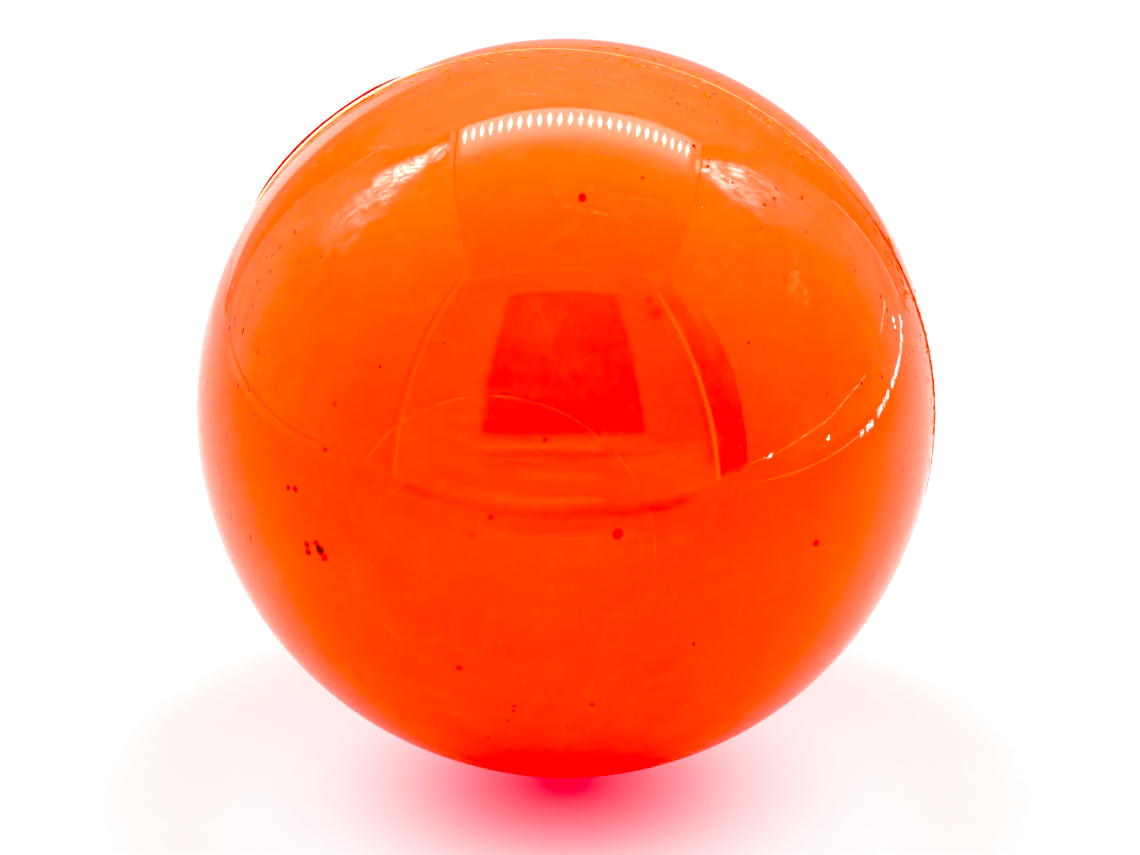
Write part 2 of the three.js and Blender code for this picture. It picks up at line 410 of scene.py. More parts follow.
def resin(name, weld):
    """Cloudy orange resin under a gloss: flow marks, cast-in dirt, dust, rubs and fine scratches."""
    g = Graph(name)
    cloud = g.ramp(g.noise(13 * MM, 4, 0.55, 0.6), 0.35, 0.7)
    flow = g.ramp(g.noise(7 * MM, 5, 0.6, 1.4, g.stretched(0.5, 2.2, 1.1)), 0.42, 0.75)
    colour = g.mix(cloud, ORANGE, ORANGE_DEEP)
    colour = g.mix(g.math("MULTIPLY", flow, 0.5), colour, ORANGE_PALE)
    # The discs' rims painted paler, as a highlight along the lip
    colour = g.mix(g.math("MULTIPLY", painted_rim_highlight(g), 0.12), colour, PALE_FLASH_AND_HIGHLIGHT)

    wander = g.add("ShaderNodeTexNoise", {"Vector": g.place, "Scale": 1 / (0.45 * MM), "Detail": 2.0})
    shift = g.vector("SUBTRACT", wander.outputs["Color"], (0.5, 0.5, 0.5)).outputs[0]
    shift = g.vector("MULTIPLY", shift, (SPOT_WANDER, SPOT_WANDER, SPOT_WANDER)).outputs[0]
    uneven = g.vector("ADD", g.place, shift).outputs[0]
    red = spots(g, uneven, INCLUSIONS)
    black = spots(g, uneven, BLACK_CORES)

    # Tiny flecks, drawn out upwards, thickest at the ball's left and beside the seam
    drawn_out = g.stretched(1.0, 1.0, 0.5)
    cells = g.add("ShaderNodeTexVoronoi", {"Vector": drawn_out, "Scale": 1 / FLECK_CELL})
    chance = g.add("ShaderNodeSeparateColor", {"Color": cells.outputs["Color"]}).outputs
    axes = g.axes()
    beside_seam = g.ramp(g.math("ABSOLUTE", axes["Y"]), 3 * MM, 17 * MM, 1.0, 0.0)
    left = g.ramp(axes["X"], -0.95 * RADIUS, -0.45 * RADIUS, 1.0, 0.0)
    crowd = g.math("MAXIMUM", g.math("MULTIPLY", beside_seam, 0.3), left)
    crowd = g.math("MULTIPLY_ADD", crowd, 0.60, 0.008)
    chosen = g.math("LESS_THAN", chance["Red"], crowd)
    size = g.math("MULTIPLY_ADD", g.math("POWER", chance["Green"], 2), 0.24, 0.14)
    fleck = g.math("MULTIPLY", g.ramp(cells.outputs["Distance"], 0.0, size, 1.0, 0.0), chosen)
    red = g.math("MAXIMUM", red, g.ramp(fleck, 0.05, 0.45, 0.0, 0.7))

    # Dust: pale pinpoints
    grains = g.add("ShaderNodeTexVoronoi", {"Vector": g.place, "Scale": 1 / DUST_CELL})
    luck = g.add("ShaderNodeSeparateColor", {"Color": grains.outputs["Color"]}).outputs
    dust = g.math("LESS_THAN", grains.outputs["Distance"], g.math("MULTIPLY", luck["Green"], 0.055))
    dust = g.math("MULTIPLY", dust, g.math("LESS_THAN", luck["Blue"], 0.3))

    # Rubs, hairline scratches and smudges
    rubbed = rubs(g)
    hair = g.noise(1.1 * MM, 3, 0.7, 2.5, g.stretched(1.0, 0.12, 1.6))
    scratch = g.ramp(g.math("ABSOLUTE", g.math("SUBTRACT", hair, 0.5)), 0.0, 0.004, 1.0, 0.0)
    scratch = g.math("MULTIPLY", scratch, g.ramp(g.noise(9 * MM, 2, four=3.0), 0.56, 0.66))
    smudge = g.ramp(g.noise(6 * MM, 5, 0.65, 0.8, four=8.0), 0.52, 0.72)

    pale = g.math("MAXIMUM", g.math("MULTIPLY", rubbed, 0.22), g.math("MULTIPLY", dust, 0.6))
    pale = g.math("MAXIMUM", pale, g.math("MULTIPLY", scratch, 0.22))
    pale = g.math("MAXIMUM", pale, g.math("MULTIPLY", spots(g, uneven, BUBBLES), 0.15))
    haze = g.ramp(g.noise(2.6 * MM, 7, 0.72, 1.6, four=12.0), 0.52, 0.72)
    pale = g.math("MULTIPLY_ADD", haze, 0.05, pale)
    colour = g.mix(red, colour, INCLUSION_RED)
    colour = g.mix(black, colour, INCLUSION_BLACK)
    colour = g.mix(pale, colour, DUST)

    rough = g.math("MULTIPLY_ADD", smudge, 0.03, 0.032)
    rough = g.math("MULTIPLY_ADD", rubbed, 0.22, rough)
    height = g.math("SUBTRACT", g.math("MULTIPLY", dust, 0.6), g.math("MULTIPLY", rubbed, 0.35))
    height = g.math("SUBTRACT", height, g.math("MULTIPLY", scratch, 0.4))
    height = g.math("SUBTRACT", height, g.math("MULTIPLY", fleck, 4.5))
    rough = g.math("MULTIPLY_ADD", fleck, 0.3, rough)
    if weld:
        colour = fin_colour_and_painted_light(g, colour)
        raised = g.ramp(g.lift(), 0.01 * MM, 0.04 * MM)
        rough = g.math("MULTIPLY_ADD", raised, 0.2, rough)
        ragged = g.math("MULTIPLY", g.noise(0.22 * MM, 5, 0.7), 1.5)
        height = g.math("MULTIPLY_ADD", ragged, raised, height)
    return g.surface({
        "Base Color": colour,
        "Roughness": rough,
        "IOR": 1.45,
        "Normal": g.bump(height, 0.02 * MM),
        "Subsurface Weight": 0.35,
        "Subsurface Radius": (1.0, 0.22, 0.06),
        "Subsurface Scale": 1.6 * MM,
    })


def filled_resin():
    """Mineral-filled moulding resin: pale, speckled and faintly grainy."""
    g = Graph("filler_resin")
    tone = g.ramp(g.noise(5 * MM, 4), 0.3, 0.7)
    grain = g.add("ShaderNodeTexVoronoi", {"Vector": g.place, "Scale": 1 / (0.5 * MM)}).outputs
    speck = g.math("LESS_THAN", grain["Distance"], 0.16)
    colour = g.mix(tone, (0.80, 0.72, 0.60, 1), (0.70, 0.61, 0.49, 1))
    colour = g.mix(g.math("MULTIPLY", speck, 0.6), colour, (0.34, 0.28, 0.22, 1))
    height = g.noise(0.3 * MM, 5, 0.7)
    rough = g.ramp(tone, 0, 1, 0.62, 0.78)
    return g.surface({"Base Color": colour, "Roughness": rough, "Normal": g.bump(height, 0.04 * MM, 0.6)})


def ground_steel():
    """A ground bearing ball: polished, with fine turning lines and faint oil marks."""
    g = Graph("core_steel")
    lines = g.noise(0.35 * MM, 3, 0.6, 0.0, g.stretched(0.2, 1.0, 0.2))
    oil = g.ramp(g.noise(8 * MM, 4, 0.6, 0.7), 0.45, 0.7)
    colour = g.mix(oil, (0.60, 0.61, 0.62, 1), (0.48, 0.47, 0.45, 1))
    rough = g.math("MULTIPLY_ADD", oil, 0.14, g.math("MULTIPLY_ADD", lines, 0.10, 0.08))
    bump = g.bump(lines, 0.004 * MM)
    return g.surface({"Base Color": colour, "Metallic": 1.0, "Roughness": rough, "Normal": bump})


RESIN = resin("ball_resin", weld=False)
WELD = resin("weld_resin", weld=True)
FILLER = filled_resin()
STEEL = ground_steel()


# ---------------------------------------------------------------- the ball's pieces

TURN_STEPS = 480
BORE_STEPS = 24
OUTER_STEPS = 130
DOME_STEPS = 44
SEAM_STEPS = 1800
FLAKE_COUNT = 280
FLAKE_SIDES = 8
GAP = 0.004 * MM  # between visible pieces
TONGUE_TAPER = 0.12 * MM
STEM_CHAMFER = 0.4 * MM


def shell(name, node, front):
    """One half shell: a tongue on the front one's rim, and a groove in the rear one's."""
    pole = polar_at(SHELL_BORE, STEM_RADIUS + FIT)
    rim = math.pi / 2 - math.asin(FIT / 2 / SHELL_BORE)
    weld = math.pi / 2 - WELD_HALF_WIDTH / RADIUS
    pocket = polar_at(RADIUS, INLAY_RADIUS + GAP)
    lift = TONGUE_HEIGHT if front else -TONGUE_HEIGHT - 2 * FIT
    grow = 0 if front else FIT
    profile = [
        *arc(SHELL_BORE, pole, rim, BORE_STEPS),
        (TONGUE_INNER - grow, -FIT / 2),
        (TONGUE_INNER - grow + TONGUE_TAPER, lift),
        (TONGUE_OUTER + grow - TONGUE_TAPER, lift),
        (TONGUE_OUTER + grow, -FIT / 2),
        (RADIUS - WELD_DEPTH, -FIT / 2),
        *arc(RADIUS, weld, pocket, OUTER_STEPS),
        (INLAY_RADIUS + GAP, -POCKET_FLOOR),
        (STEM_RADIUS + FIT, -POCKET_FLOOR),
    ]
    verts, faces = revolve(profile, TURN_STEPS, closed=True)
    if not front:
        verts = facing_rear(verts)
    obj = smooth(make_object(name, with_relief(verts), faces, RESIN, solid=True))
    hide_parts(node)
    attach(obj, "root")


def lip_height(around, seed):
    """How far the disc's rim stands up: a hairline that fades and comes back as it goes round."""
    point = Vector((math.sin(around) * 3, math.cos(around) * 3, seed))
    fine = Vector((math.sin(around) * 22, math.cos(around) * 22, seed))
    slow = 0.5 + 0.5 * noise.noise(point)
    quick = 0.5 + 0.5 * noise.noise(fine)
    return (0.001 + 0.008 * slow * slow * (0.4 + 0.6 * quick)) * MM


def inlay(name, node, front):
    """The disc at a pole, with its stem and a fine lip of flash round its rim."""
    # inset from the rim in mm, and share of the lip's height; the outermost point laps onto the shell
    lip = [(0.30, 0.0), (0.20, 0.10), (0.13, 0.45), (0.08, 0.9), (0.03, 1.0), (-0.02, 0.75), (-0.06, 0.3)]
    profile = [
        (0, -STEM_TIP),
        (STEM_RADIUS - STEM_CHAMFER, -STEM_TIP),
        (STEM_RADIUS, -STEM_TIP - STEM_CHAMFER),
        (STEM_RADIUS, -POCKET_FLOOR - FIT),
        (INLAY_RADIUS, -POCKET_FLOOR - FIT),
        (INLAY_RADIUS, 0.03 * MM - math.sqrt(RADIUS**2 - INLAY_RADIUS**2)),
    ]
    rim_start = len(profile)
    for inset, _ in reversed(lip):
        r = INLAY_RADIUS - inset * MM
        profile.append((r, -math.sqrt(RADIUS**2 - r**2)))
    start = polar_at(RADIUS, INLAY_RADIUS - 0.6 * MM)
    profile += arc(RADIUS, start, 0, DOME_STEPS)
    verts, faces = revolve(profile, TURN_STEPS, closed=False)
    verts = with_relief(verts) if front else verts
    first = 1 + (rim_start - 1) * TURN_STEPS
    for k, (_, share) in enumerate(reversed(lip)):
        for i in range(TURN_STEPS):
            v = verts[first + k * TURN_STEPS + i]
            height = share * lip_height(2 * math.pi * i / TURN_STEPS, 1.0 if front else 9.0)
            verts[first + k * TURN_STEPS + i] = v * (1 + height / v.length)
    if not front:
        verts = with_relief(facing_rear(verts))
    obj = smooth(make_object(name, verts, faces, RESIN, solid=True), 50)
    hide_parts(node)
    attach(obj, "root")


def window(x, low, high, soft):
    """1 between low and high, with soft ends."""
    rise = min(max((x - low) / soft, 0), 1)
    fall = min(max((high - x) / soft, 0), 1)
    return rise * rise * (3 - 2 * rise) * fall * fall * (3 - 2 * fall)


def bead_height(degrees):
    """The weld's height over the ball, in mm, at an angle round the seam from +Z towards +X."""
    t = math.radians(degrees)
    at = Vector((math.sin(t), 0.0, math.cos(t)))
    slow = 0.5 + 0.5 * noise.noise(at * 6)
    quick = 0.5 + 0.5 * noise.noise(at * 40 + Vector((0, 3, 0)))
    ragged = 0.5 + 0.5 * noise.noise(at * 150 + Vector((0, 7, 0)))
    height = 0.03 + 0.05 * slow * quick + 0.04 * quick * ragged
    height += 0.42 * window(degrees, -66, -18, 14) * (0.88 + 0.12 * slow)
    height += 0.09 * window(degrees, 35, 95, 15) * ragged
    height += 0.10 * window(degrees, 120, 250, 30) * slow * (0.6 + 0.4 * ragged)
    return height


RIDGE = 0.4  # the fainter ridge's share of the fin's height


def bead():
    """The weld bead: flush with the ball, with a thin ragged fin, a fainter ridge in front, and flakes."""
    ends = WELD_HALF_WIDTH / MM
    section = [  # across the seam in mm, and share of the fin's height; the ends go down into the V
        (-ends - 0.02, None), (-ends, 0), (-0.34, 0.02), (-0.29, RIDGE), (-0.26, RIDGE), (-0.21, 0.02),
        (-0.10, 0.10), (-0.05, 0.45), (-0.02, 0.92), (0.01, 1.0), (0.04, 0.7), (0.09, 0.22), (0.17, 0.02),
        (ends, 0), (ends + 0.02, None),
    ]
    verts, faces = [], []
    for i in range(SEAM_STEPS):
        degrees = 360 * i / SEAM_STEPS
        t = math.radians(degrees)
        out = Vector((math.sin(t), 0, math.cos(t)))
        height = bead_height(degrees if degrees < 180 else degrees - 360)
        drift = 0.05 * noise.noise(out * 9) + 0.025 * noise.noise(out * 60)
        fade = max(0.0, min(1.0, 0.5 + 1.6 * noise.noise(out * 14 + Vector((0, 5, 0)))))
        for across, share in section:
            y = (across + drift * (1 if share else 0)) * MM
            lift = -0.03 if share is None else height * (RIDGE * fade if share == RIDGE else share)
            point = out * math.sqrt(RADIUS**2 - y**2) + Vector((0, y, 0))
            verts.append(point * (1 + lift * MM / RADIUS))
        verts.append(out * (RADIUS - WELD_DEPTH + 2 * FIT))
    count = len(section) + 1
    for i in range(SEAM_STEPS):
        j = (i + 1) % SEAM_STEPS
        for k in range(count):
            m = (k + 1) % count
            faces.append((i * count + k, i * count + m, j * count + m, j * count + k))
    verts = with_relief(verts)
    for _ in range(FLAKE_COUNT):
        add_flake(verts, faces)
    obj = smooth(make_object("weld_flash", verts, faces, WELD, solid=True), 60)
    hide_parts("equator_weld_bead")
    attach(obj, "root")


def add_flake(verts, faces):
    """A sliver of flash that was torn loose and stuck down beside the seam."""
    spans = [(10, 48), (-20, 12), (-180, 180), (50, 95)]  # where they are thickest, and all round
    around = rng.choice([rng.uniform(*span) for span in spans])
    side = rng.choice([-1, -1, 1])
    centre = on_ball(90 + side * rng.triangular(1.2, 6.5, 1.4), around)
    out = centre.normalized()
    seam = AXIS.cross(out).normalized()
    turn = rng.gauss(0, 0.35)
    along = (seam * math.cos(turn) + AXIS * math.sin(turn)).normalized()
    across = out.cross(along)
    length = rng.triangular(0.15, 1.5, 0.3) * MM
    width = rng.uniform(0.04, 0.13) * MM
    height = rng.uniform(0.02, 0.08) * MM
    first = len(verts)
    rim = FLAKE_SIDES
    for i in range(rim):
        t = 2 * math.pi * i / rim
        reach = rng.uniform(0.75, 1.15)
        p = centre + along * (math.cos(t) * length / 2 * reach) + across * (math.sin(t) * width / 2 * reach)
        verts.append(p.normalized() * (RADIUS - 0.01 * MM))
    verts.append(centre.normalized() * (RADIUS + height))
    verts.append(centre.normalized() * (RADIUS - 0.03 * MM))
    for i in range(rim):
        j = (i + 1) % rim
        faces.append((first + i, first + j, first + rim))
        faces.append((first + j, first + i, first + rim + 1))


shell("front_shell_skin", "front_shell", front=True)
shell("rear_shell_skin", "rear_shell", front=False)
inlay("front_inlay_blank", "front_inlay_disc", front=True)
inlay("rear_inlay_blank", "rear_inlay_disc", front=False)
bead()

# The pieces inside keep their CAD shapes
INSIDE = {"front_filler_half": FILLER, "rear_filler_half": FILLER, "steel_core_ball": STEEL}
for node, material in INSIDE.items():
    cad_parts[node].data.materials.clear()
    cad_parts[node].data.materials.append(material)


# ---------------------------------------------------------------- the tent, the floor and the camera

# What hangs on a wall stands at a share of its distance, so that it is in front of it
GUSSET_SHARE = 0.995
GLOW_SHARE = 0.99
EDGE_SHARE = 0.985
ZIP_SHARE = 0.97


def in_tent(u, v, z):
    """The point at u to the camera's right, v away from it and z up, from the ball's centre."""
    return RIGHT * u + AWAY * v + UP * z


def plain_glow(name, strength):
    return Graph(name).glow(strength)


def lining(name, direction, low, high, glow, near_front=1.0, far_back=1.0):
    """The tent's crumpled lining: its glow goes from one level to another along a direction."""
    g = Graph(name)
    level = g.ramp(g.along(direction), low, high, *glow)
    depth = g.along(AWAY)
    level = g.math("MULTIPLY", level, g.ramp(depth, 2.2 * RADIUS, TENT_BACK, 1.0, far_back))
    level = g.math("MULTIPLY", level, g.ramp(depth, TENT_FRONT, -0.5 * RADIUS, near_front, 1.0))
    folds = g.ramp(g.noise(1.1 * RADIUS, 5, 0.62, 1.5), 0.3, 0.7, 0.88, 1.12)
    return g.glow(g.math("MULTIPLY", level, folds))


def only_reflected(obj):
    """A part of the tent: it lights the ball and shows in its gloss, and no camera sees it."""
    obj.visible_camera = False
    obj.visible_shadow = False


def panel(name, corners, material):
    """One face of the tent. Its light isn't sampled like a lamp's, because it is large and even."""
    material.cycles.emission_sampling = "NONE"
    only_reflected(make_object(name, corners, [tuple(range(len(corners)))], material))


def soft_box(g, u, z, left, right, low, high, soft):
    """A mask of a box with soft edges and rounded corners."""
    until_right = g.ramp(u, right - soft, right + soft, 1, 0)
    until_high = g.ramp(z, high - soft, high + soft, 1, 0)
    wide = g.math("MULTIPLY", g.ramp(u, left - soft, left + soft), until_right)
    tall = g.math("MULTIPLY", g.ramp(z, low - soft, low + soft), until_high)
    return g.math("MULTIPLY", wide, tall)


# What the tent's front shows: left, right, low and high in ball radii, how soft its edge is, and its glow
FLAP_MARKS = [
    (-2.08, 1.92, 1.16, 6.35, 0.15, 0.0),  # the dark room through the opening
    (-1.7, 1.7, 5.0, 6.2, 0.6, 0.16),
    (1.96, 4.1, 0.9, 6.5, 0.10, 0.85),  # the flap at the opening's right, and its shaded edge
    (3.75, 4.10, 0.2, 3.0, 0.30, 0.40),
    (4.20, 5.40, -0.2, 6.9, 0.12, 0.2),
    (4.20, 5.40, 4.8, 7.2, 1.20, 0.9),
    (-2.0, 0.8, 0.85, 0.96, 0.06, 1.9),  # folds under it
    (-2.0, 2.2, 0.66, 0.78, 0.06, 0.75),
    (-1.1, 0.8, 0.20, 0.34, 0.10, 1.9),
    (-1.6, 0.8, -0.34, -0.22, 0.08, 2.1),
    (-4.6, 3.4, -0.72, -0.46, 0.14, 0.62),  # the shadow at its foot
    (0.9, 3.0, -0.70, -0.50, 0.16, 0.30),
]


def opening():
    """The tent's front: a pale crumpled flap round the dark room."""
    g = Graph("tent_flap_glow")
    sway = g.math("SUBTRACT", g.noise(0.9 * RADIUS, 4, 0.6, four=9.0), 0.5)
    u = g.math("MULTIPLY_ADD", sway, 0.30, g.along(RIGHT / RADIUS))
    z = g.math("MULTIPLY_ADD", sway, -0.25, g.along(UP / RADIUS))
    level = g.ramp(g.noise(0.8 * RADIUS, 5, 0.6, 1.0, g.stretched(0.4, 1.0, 2.2)), 0.3, 0.7, 1.0, 1.45)
    for *box, soft, glow in FLAP_MARKS:
        mask = soft_box(g, u, z, *box, soft)
        level = g.math("MULTIPLY_ADD", mask, g.math("SUBTRACT", glow, level), level)
    s, f, foot, top = TENT_SIDE, TENT_FRONT, -0.8 * RADIUS, TENT_CEILING
    corners = [in_tent(-s, f, foot), in_tent(s, f, foot), in_tent(s, f, top), in_tent(-s, f, top)]
    panel("tent_flap", corners, g.glow(level))

    # The shaded edge goes on round the corner
    g = Graph("flap_shade_glow")
    shade = [(-4.7, -0.3), (-4.2, 0.0), (-3.95, 3.0), (-4.0, 5.2), (-4.7, 7.6)]
    corners = [in_tent(TENT_SIDE * GLOW_SHARE, v * RADIUS, z * RADIUS) for v, z in shade]
    panel("flap_shade", corners, g.glow(g.ramp(g.along(UP / RADIUS), 3.0, 6.6, 0.25, 1.5)))


# The ceiling's left edge runs in towards the lamps
GUSSET_TOP = TENT_CEILING * GUSSET_SHARE
CEILING_EDGE = [
    in_tent(-4.65 * RADIUS, TENT_FRONT, GUSSET_TOP),
    in_tent(-3.8 * RADIUS, TENT_BACK, GUSSET_TOP),
]


def tent():
    """The walls, the back, the ceiling and the front."""
    s, f, b, c, w = TENT_SIDE, TENT_FRONT, TENT_BACK, TENT_CEILING, WALL_BASE
    wall = lining("tent_wall", UP, 0, 7 * RADIUS, WALL_GLOW, 0.72, 0.64)
    left = [in_tent(-s, f, w), in_tent(-s, b, w), in_tent(-s, b, c), in_tent(-s, f, c)]
    right = [in_tent(s, f, w), in_tent(s, b, w), in_tent(s, b, c), in_tent(s, f, c)]
    back = [in_tent(-s, b, w), in_tent(s, b, w), in_tent(s, b, c), in_tent(-s, b, c)]
    top = [in_tent(-s, f, c), in_tent(s, f, c), in_tent(s, b, c), in_tent(-s, b, c)]
    panel("tent_left", left, wall)
    panel("tent_right", right, wall)
    panel("tent_gusset", [in_tent(-s, f, GUSSET_TOP), *CEILING_EDGE, in_tent(-s, b, GUSSET_TOP)], wall)
    panel("tent_back", back, lining("tent_back_wall", UP, 1.5 * RADIUS, 8 * RADIUS, BACK_GLOW))
    panel("tent_top", top, lining("tent_ceiling", AWAY, TENT_FRONT, 4 * RADIUS, CEILING_GLOW))

    # A sheet of paper hangs on the back wall, and its left edge is cut slanting
    g = Graph("paper_sheet_glow")
    sheet = [
        (-4.4, -0.3), (-3.6, 0.2), (-3.2, 0.7), (-3.0, 1.2),
        (-2.7, 1.55), (-1.8, 2.2), (-0.8, 2.6), (-0.8, -0.3),
    ]
    corners = [in_tent(u * RADIUS, TENT_BACK * EDGE_SHARE, z * RADIUS) for u, z in sheet]
    panel("paper_sheet", corners, g.glow(g.ramp(g.along(RIGHT), -2.6 * RADIUS, -0.9 * RADIUS, 1.4, 0.68)))
    opening()


def rod(name, start, end, width, strength):
    """A thin strip on the tent's edge, facing the ball."""
    along = (end - start).normalized()
    side = along.cross((start + end) / 2).normalized() * (width / 2)
    corners = [start - side, start + side, end + side, end - side]
    panel(name, corners, plain_glow(name, strength))


def tent_edges():
    """The edges between the walls: each a line a little brighter or darker than the lining."""
    s, f, b, c = [size * EDGE_SHARE for size in (TENT_SIDE, TENT_FRONT, TENT_BACK, TENT_CEILING)]
    w = WALL_BASE
    flap_edge = in_tent(4.14 * RADIUS, f, w), in_tent(3.84 * RADIUS, f, 6.9 * RADIUS)
    thin = 0.10 * RADIUS
    rod("edge_top_left", *[p * EDGE_SHARE for p in CEILING_EDGE], thin * 0.7, 1.5)
    rod("edge_top_right", in_tent(s, f, c), in_tent(s, b, c), thin * 0.7, 1.6)
    rod("edge_front_left", in_tent(-s * 0.98, f, w), in_tent(-s * 0.98, f, c), thin * 0.9, 2.3)
    rod("edge_front_left_dark", in_tent(-s, f * 0.95, w), in_tent(-s, f * 0.95, c), thin * 0.8, 0.7)
    rod("edge_back_left", in_tent(-s, b, 0), in_tent(-s, b, 6.5 * RADIUS), thin * 0.5, 0.8)
    rod("edge_front_right", *flap_edge, thin * 1.2, 2.6)
    rod("edge_front_top", in_tent(-s, f, c * 0.95), in_tent(s * 0.9, f, c * 0.95), thin, 2.0)
    rod("base_left", in_tent(-s, f, w * 0.3), in_tent(-s, b, w * 0.3), thin * 0.5, 0.8)
    rod("base_back", in_tent(-s, b, w), in_tent(s, b, w), thin * 0.6, 0.6)
    rod("edge_back_right", in_tent(s, b, 0), in_tent(s, b, 2.4 * RADIUS), thin * 0.6, 2.2)


# Zips on the right wall: how far back and how high, in ball radii
LOW_ZIP = [
    (4.56, 1.02), (4.35, 0.42), (4.06, 0.0), (2.93, -0.18),
    (2.07, -0.25), (1.26, -0.34), (0.56, -0.46), (0.0, -0.48),
]
LOW_ZIP_END = [(0.0, -0.48), (-0.7, -0.51), (-2.1, -0.6), (-3.5, -0.62)]
HIGH_ZIP = [(0.6, 0.37), (-0.3, 0.31), (-1.1, 0.19), (-2.0, 0.12), (-2.9, 0.0), (-4.0, -0.07)]
SHORT_ZIP = [(3.06, 0.66), (2.4, 0.62), (1.86, 0.55)]
# Single bright glints beside them, with their sizes
GLINTS = [(-1.16, -0.16, 0.07), (3.09, 0.28, 0.07), (3.0, 0.18, 0.05), (-3.2, -0.02, 0.09)]
ZIP_WALL = TENT_SIDE * ZIP_SHARE


def along_line(line, share):
    """A point on a line of points, by its share of the way along."""
    at = share * (len(line) - 1)
    i = int(at)
    (v0, z0), (v1, z1) = line[i], line[i + 1]
    return v0 + (v1 - v0) * (at - i), z0 + (z1 - z0) * (at - i)


def diamond(verts, faces, v, z, long, high, lean):
    """A small facing piece of the wall at v and z, in ball radii."""
    first = len(verts)
    for dv, dz in ((-long, -lean), (0, -high), (long, lean), (0, high)):
        verts.append(in_tent(ZIP_WALL, (v + dv) * RADIUS, (z + dz) * RADIUS))
    faces.append((first, first + 1, first + 2, first + 3))


def zip_teeth(name, line, teeth, long, high, gaps):
    """A zip catches the light tooth by tooth, and not everywhere."""
    verts, faces = [], []
    for i in range(teeth):
        v, z = along_line(line, (i + rng.uniform(0, 0.8)) / teeth)
        big = rng.uniform(0.4, 1.0)
        if noise.noise(Vector((v * 2.3, z, gaps))) < -0.22:
            continue
        height = high * rng.uniform(0.6, 1.0)
        diamond(verts, faces, v, z, long * big, height, rng.uniform(0.1, 0.7) * long * big)
    only_reflected(make_object(name, verts, faces, plain_glow(name + "_glow", ZIP_GLOW)))


def zip_tape(name, line, width, strength):
    """The zip's tape: a thin line, a little brighter than the wall."""
    verts, faces = [], []
    for v, z in line:
        verts += [in_tent(ZIP_WALL, v * RADIUS, edge * RADIUS) for edge in (z - width, z + width)]
    for i in range(0, len(verts) - 2, 2):
        faces.append((i, i + 1, i + 3, i + 2))
    only_reflected(make_object(name, verts, faces, plain_glow(name + "_glow", strength)))


def zips():
    """Three zips on the right wall, and glints off their pulls."""
    zip_tape("low_zip_tape", LOW_ZIP, 0.014, 2.0)
    zip_tape("low_zip_end_tape", LOW_ZIP_END, 0.014, 4)
    zip_tape("high_zip_tape", HIGH_ZIP, 0.012, 4)
    zip_tape("short_zip_tape", SHORT_ZIP, 0.012, 4)
    zip_teeth("low_zip_teeth", LOW_ZIP[2:], 42, 0.055, 0.09, 1.0)
    zip_teeth("high_zip_teeth", HIGH_ZIP, 34, 0.040, 0.012, 4.0)
    zip_teeth("short_zip_teeth", SHORT_ZIP, 8, 0.04, 0.012, 9.0)
    verts, faces = [], []
    for v, z, size in GLINTS:
        diamond(verts, faces, v, z, size, size * 0.6, size * 0.3)
    only_reflected(make_object("zip_glints", verts, faces, plain_glow("zip_glint_glow", GLINT_GLOW)))


def led_strip():
    """The tent's lamps: a row of bright diamonds on a glowing board at the back of the ceiling."""
    z = TENT_CEILING * EDGE_SHARE
    start, end = in_tent(-3.5 * RADIUS, 3.97 * RADIUS, z), in_tent(4.45 * RADIUS, 3.64 * RADIUS, z)
    along = (end - start) / (LED_COUNT - 1)
    across = along.cross(UP).normalized() * (0.58 * RADIUS)
    verts, faces = [], []
    for i in range(LED_COUNT):
        centre = start + along * i
        first = len(verts)
        verts += [centre - along * 0.24, centre - across, centre + along * 0.24, centre + across]
        faces.append((first, first + 1, first + 2, first + 3))
    only_reflected(make_object("led_lamps", verts, faces, plain_glow("led_glow", LED_GLOW)))

    g = Graph("led_board_glow")
    middle = (start + end) / 2
    offset = g.vector("SUBTRACT", g.place, tuple(middle)).outputs[0]
    v = g.math("ABSOLUTE", g.vector("DOT_PRODUCT", offset, tuple(across.normalized())).outputs["Value"])
    u = g.math("ABSOLUTE", g.vector("DOT_PRODUCT", offset, tuple(along.normalized())).outputs["Value"])
    short = g.ramp(u, 4.0 * RADIUS, 4.3 * RADIUS, 1, 0)
    fade = g.math("MULTIPLY", g.ramp(v, 0.55 * RADIUS, 1.9 * RADIUS, 1, 0), short)
    level = g.math("MULTIPLY_ADD", fade, 3.5, CEILING_GLOW[1])
    reach, wide = along * 14, across.normalized() * (1.95 * RADIUS)
    corners = [middle - reach - wide, middle + reach - wide, middle + reach + wide, middle - reach + wide]
    board = [p + UP * 0.05 * RADIUS for p in corners]
    panel("led_board", board, g.glow(level))


